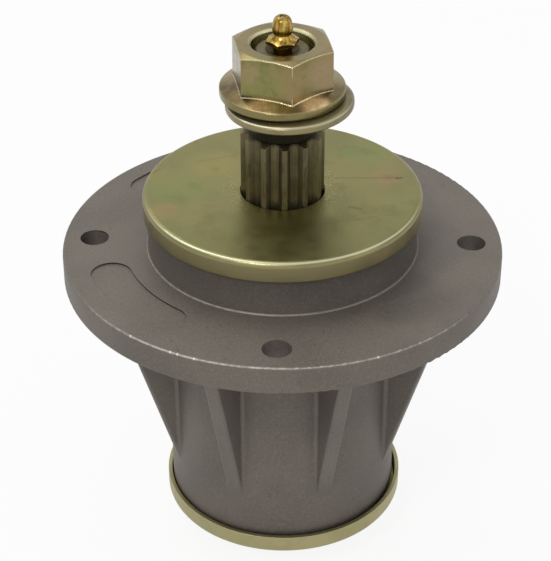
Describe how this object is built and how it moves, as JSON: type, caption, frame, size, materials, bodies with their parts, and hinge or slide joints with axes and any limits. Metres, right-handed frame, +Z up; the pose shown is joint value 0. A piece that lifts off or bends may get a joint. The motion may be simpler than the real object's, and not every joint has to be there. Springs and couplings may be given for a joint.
{
  "type": "mower deck spindle",
  "caption": "Mower deck blade spindle: ribbed flanged housing with a splined shaft, tapered roller bearings, seals, dust shields, flange nut and grease fitting.",
  "frame": {"origin": "centre of the housing flange's top face, on the spindle axis, where the flange bolts up under the deck", "axes": "+Z up the spindle axis towards the pulley nut and grease fitting; +X and +Y each through a bolt hole"},
  "size_m": [0.1476, 0.1476, 0.1967],
  "materials": {
    "cast_housing": "as cast with a machined flange face, dull warm grey",
    "zinc_plate": "yellow zinc plate, satin with pink and green tints",
    "dark_steel": "dark oiled steel, lighter on the tooth edges",
    "bearing_steel": "ground and polished",
    "seal_rubber": "matte black",
    "brass": "yellow, semi-gloss"
  },
  "bodies": {
    "housing": {"housing": "cast_housing", "upper_bearing_cup": "bearing_steel", "lower_bearing_cup": "bearing_steel", "upper_seal_case": "bearing_steel", "upper_seal_lip": "seal_rubber", "upper_seal_spring": "bearing_steel", "lower_seal_case": "bearing_steel", "lower_seal_lip": "seal_rubber", "lower_seal_spring": "bearing_steel"},
    "spindle": {"spindle_shaft": "dark_steel", "upper_bearing_cone": "bearing_steel", "lower_bearing_cone": "bearing_steel", "bearing_spacer": "bearing_steel", "upper_wear_sleeve": "bearing_steel", "lower_wear_sleeve": "bearing_steel", "top_shield": "zinc_plate", "bottom_shield": "zinc_plate", "pulley_washer": "zinc_plate", "pulley_nut": "zinc_plate", "grease_fitting": "brass", "grease_fitting_spring": "bearing_steel"},
    "upper_roller_set": {"upper_bearing_rollers": "bearing_steel", "upper_bearing_cage": "bearing_steel"},
    "lower_roller_set": {"lower_bearing_rollers": "bearing_steel", "lower_bearing_cage": "bearing_steel"},
    "check_ball": {"grease_fitting_ball": "bearing_steel"}
  },
  "joints": [
    {"name": "spindle_spin", "type": "hinge", "parent": "housing", "child": "spindle", "pos_m": [0, 0, 0], "axis": [0, 0, 1], "continuous": true},
    {"name": "upper_rollers_spin", "type": "hinge", "parent": "housing", "child": "upper_roller_set", "pos_m": [0, 0, 0], "axis": [0, 0, 1], "continuous": true},
    {"name": "lower_rollers_spin", "type": "hinge", "parent": "housing", "child": "lower_roller_set", "pos_m": [0, 0, 0], "axis": [0, 0, 1], "continuous": true},
    {"name": "check_ball_push", "type": "slide", "parent": "spindle", "child": "check_ball", "axis": [0, 0, -1], "range_m": [0, 0.0008], "stiffness_N_per_m": 60, "springref_m": -0.0006, "deforming": ["grease_fitting_spring"]}
  ],
  "couplings": [
    {"joint": "upper_rollers_spin", "follows": "spindle_spin", "ratio": 0.4258},
    {"joint": "lower_rollers_spin", "follows": "spindle_spin", "ratio": 0.4258}
  ]
}
